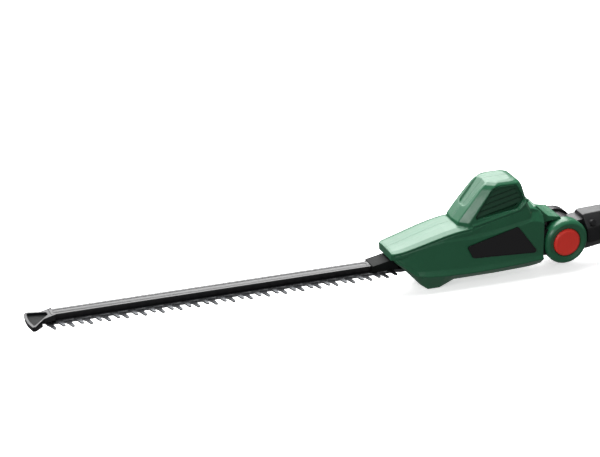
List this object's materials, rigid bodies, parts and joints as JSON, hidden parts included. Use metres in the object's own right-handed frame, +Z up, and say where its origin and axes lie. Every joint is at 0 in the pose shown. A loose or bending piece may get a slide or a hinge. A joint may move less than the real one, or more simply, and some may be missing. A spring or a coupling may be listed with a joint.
{
  "type": "pole hedge trimmer",
  "caption": "Cordless hedge trimmer on a telescopic pole: tilting head with two reciprocating toothed blades, twist-lock pole and rear loop handle with a slide-on battery.",
  "frame": {"origin": "centre of the footprint on the floor, where the tool rests on the head's foot and on the battery", "axes": "+X along the tool from the blade tip to the handle, +Z up, +Y across the blades"},
  "size_m": [2.0946, 0.074, 0.1829],
  "materials": {
    "green_plastic": "fine moulded texture, satin",
    "black_plastic": "fine moulded texture",
    "gloss_black": "gloss",
    "red_plastic": "satin",
    "blade_steel": "ground and oiled",
    "bar_metal": "brushed top, blackened sides",
    "steel": "machined",
    "cast_aluminium": "die cast",
    "tube_black": "black anodised",
    "rubber_grip": "matt ribbed rubber",
    "copper": "lacquered windings"
  },
  "bodies": {
    "handle": {"handle_left": "black_plastic", "handle_right": "black_plastic", "handle_screw_1": "steel", "handle_screw_2": "steel", "handle_screw_3": "steel", "outer_tube": "tube_black", "slide_bush": "black_plastic", "tube_clamp": "black_plastic", "front_grip": "rubber_grip", "strap_clamp": "black_plastic", "switch_module": "black_plastic", "terminal_block": "copper", "grip_pad": "rubber_grip", "battery_shoe": "black_plastic", "trigger_pin": "steel"},
    "trigger": {"trigger": "red_plastic"},
    "lock_off_button": {"lock_off_button": "red_plastic"},
    "battery": {"battery_base": "black_plastic", "battery_cover": "black_plastic"},
    "battery_release_button": {"battery_release_button": "red_plastic"},
    "lock_collar": {"lock_collar": "red_plastic"},
    "pole": {"inner_tube": "tube_black", "pole_adaptor": "black_plastic", "pivot_pin": "steel"},
    "head": {"housing_left": "green_plastic", "housing_right": "green_plastic", "side_plate_left": "gloss_black", "side_plate_right": "gloss_black", "vent_grille_left": "black_plastic", "vent_grille_right": "black_plastic", "root_guard": "black_plastic", "guide_bar": "bar_metal", "tip_guard": "black_plastic", "gear_case_lower": "cast_aluminium", "gear_case_upper": "cast_aluminium", "gear_bearing_upper": "steel", "gear_bearing_lower": "steel", "motor_can": "steel", "fork_chassis": "black_plastic", "ear_left": "green_plastic", "ear_right": "black_plastic", "button_spring_left": "steel", "button_spring_right": "steel", "bar_screw_1": "steel", "bar_screw_2": "steel", "bar_screw_3": "steel", "bar_screw_4": "steel", "bar_screw_5": "steel", "housing_screw_1": "steel", "housing_screw_2": "steel", "housing_screw_3": "steel", "housing_screw_4": "steel"},
    "release_button_left": {"release_button_left": "red_plastic"},
    "release_button_right": {"release_button_right": "red_plastic"},
    "upper_blade": {"upper_blade": "blade_steel"},
    "lower_blade": {"lower_blade": "blade_steel"},
    "drive_gear": {"drive_gear": "steel"},
    "motor_shaft": {"motor_rotor": "copper", "motor_pinion": "steel"}
  },
  "joints": [
    {"name": "trigger_squeeze", "type": "hinge", "parent": "handle", "child": "trigger", "pos_m": [0.83776, 0, 0.1319], "axis": [0, -1, 0], "range_deg": [0, 8], "stiffness_Nm_per_rad": 0.6, "springref_deg": -5.73},
    {"name": "lock_off_slide", "type": "slide", "parent": "handle", "child": "lock_off_button", "axis": [-0.9962, 0, -0.0872], "range_m": [0, 0.008], "stiffness_N_per_m": 200, "springref_m": -0.004},
    {"name": "battery_slide", "type": "slide", "parent": "handle", "child": "battery", "axis": [1, 0, 0], "range_m": [0, 0.09]},
    {"name": "battery_release_press", "type": "slide", "parent": "battery", "child": "battery_release_button", "axis": [0, 0, -1], "range_m": [0, 0.003], "stiffness_N_per_m": 400, "springref_m": -0.002},
    {"name": "collar_twist", "type": "hinge", "parent": "handle", "child": "lock_collar", "pos_m": [0.04066, 0, 0.07521], "axis": [0.9962, 0, 0.0872], "range_deg": [0, 90]},
    {"name": "pole_extension", "type": "slide", "parent": "handle", "child": "pole", "axis": [-0.9962, 0, -0.0872], "range_m": [0, 0.5]},
    {"name": "head_tilt", "type": "hinge", "parent": "pole", "child": "head", "pos_m": [-0.3618, 0, 0.04], "axis": [0, 1, 0], "range_deg": [-90, 45]},
    {"name": "release_left_press", "type": "slide", "parent": "head", "child": "release_button_left", "axis": [0, 1, 0], "range_m": [0, 0.004], "stiffness_N_per_m": 500, "springref_m": -0.002},
    {"name": "release_right_press", "type": "slide", "parent": "head", "child": "release_button_right", "axis": [0, -1, 0], "range_m": [0, 0.004], "stiffness_N_per_m": 500, "springref_m": -0.002},
    {"name": "upper_blade_stroke", "type": "slide", "parent": "head", "child": "upper_blade", "axis": [1, 0, 0], "range_m": [-0.011, 0]},
    {"name": "lower_blade_stroke", "type": "slide", "parent": "head", "child": "lower_blade", "axis": [1, 0, 0], "range_m": [0, 0.011]},
    {"name": "gear_spin", "type": "hinge", "parent": "head", "child": "drive_gear", "pos_m": [-0.4748, 0, 0.04], "axis": [0, 0, 1], "continuous": true},
    {"name": "motor_spin", "type": "hinge", "parent": "head", "child": "motor_shaft", "pos_m": [-0.4458, 0, 0.04], "axis": [0, 0, 1], "continuous": true}
  ],
  "couplings": [
    {"joint": "lower_blade_stroke", "follows": "upper_blade_stroke", "ratio": -1},
    {"joint": "motor_spin", "follows": "gear_spin", "ratio": -4}
  ]
}
